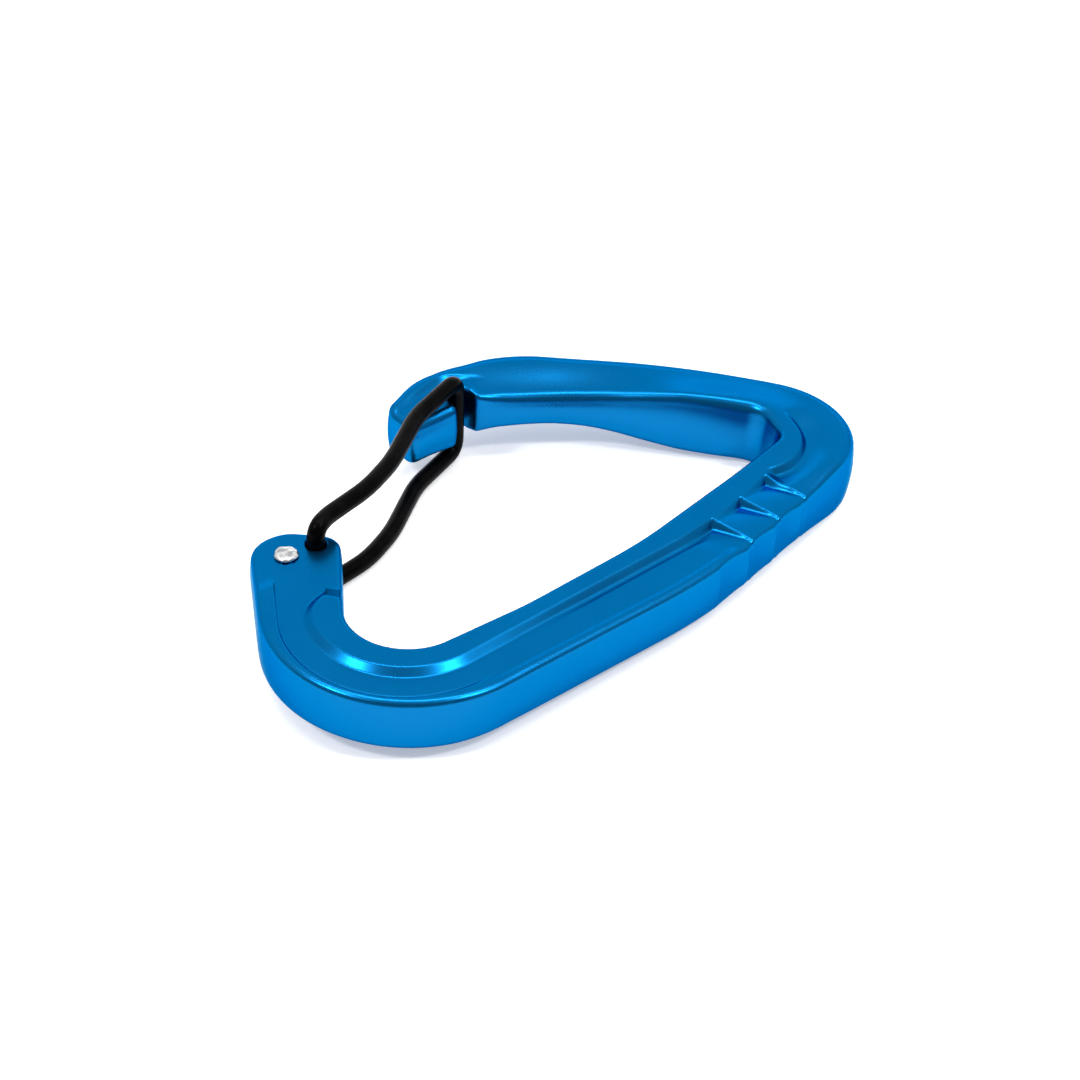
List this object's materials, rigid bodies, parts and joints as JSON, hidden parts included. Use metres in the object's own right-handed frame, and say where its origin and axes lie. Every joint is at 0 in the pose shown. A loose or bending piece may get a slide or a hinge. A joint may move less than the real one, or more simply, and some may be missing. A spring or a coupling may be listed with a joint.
{
  "type": "wire-gate carabiner",
  "caption": "Offset D-shaped climbing carabiner with a forged alloy frame, a hooked nose, thumb ridges on the spine and a sprung bent-wire gate.",
  "frame": {"origin": "middle of the underside of the bounding box, with the frame's mid-plane level", "axes": "+X along the spine towards the wide basket end, +Y from the spine to the gate side, +Z through the thickness"},
  "size_m": [0.097, 0.061, 0.0148],
  "materials": {
    "anodised_frame": "satin blue anodised",
    "gate_wire": "semi-gloss black coated spring wire",
    "peened_end": "bare steel, hammered"
  },
  "bodies": {
    "frame": {"forged_body": "anodised_frame"},
    "gate": {"gate_wire": "gate_wire"},
    "gate_lower_end": {"gate_lower_end": "peened_end"}
  },
  "joints": [
    {"name": "gate_hinge", "type": "hinge", "parent": "frame", "child": "gate", "pos_m": [-0.03145, 0.00655, 0.0074], "axis": [0, 0, -1], "range_deg": [0, 58], "stiffness_Nm_per_rad": 0.12, "springref_deg": -45.84},
    {"name": "lower_end_turn", "type": "hinge", "parent": "frame", "child": "gate_lower_end", "pos_m": [-0.03605, 0.00675, 0.0074], "axis": [0, 0, -1], "range_deg": [0, 58]}
  ],
  "couplings": [
    {"joint": "lower_end_turn", "follows": "gate_hinge", "ratio": 1}
  ]
}
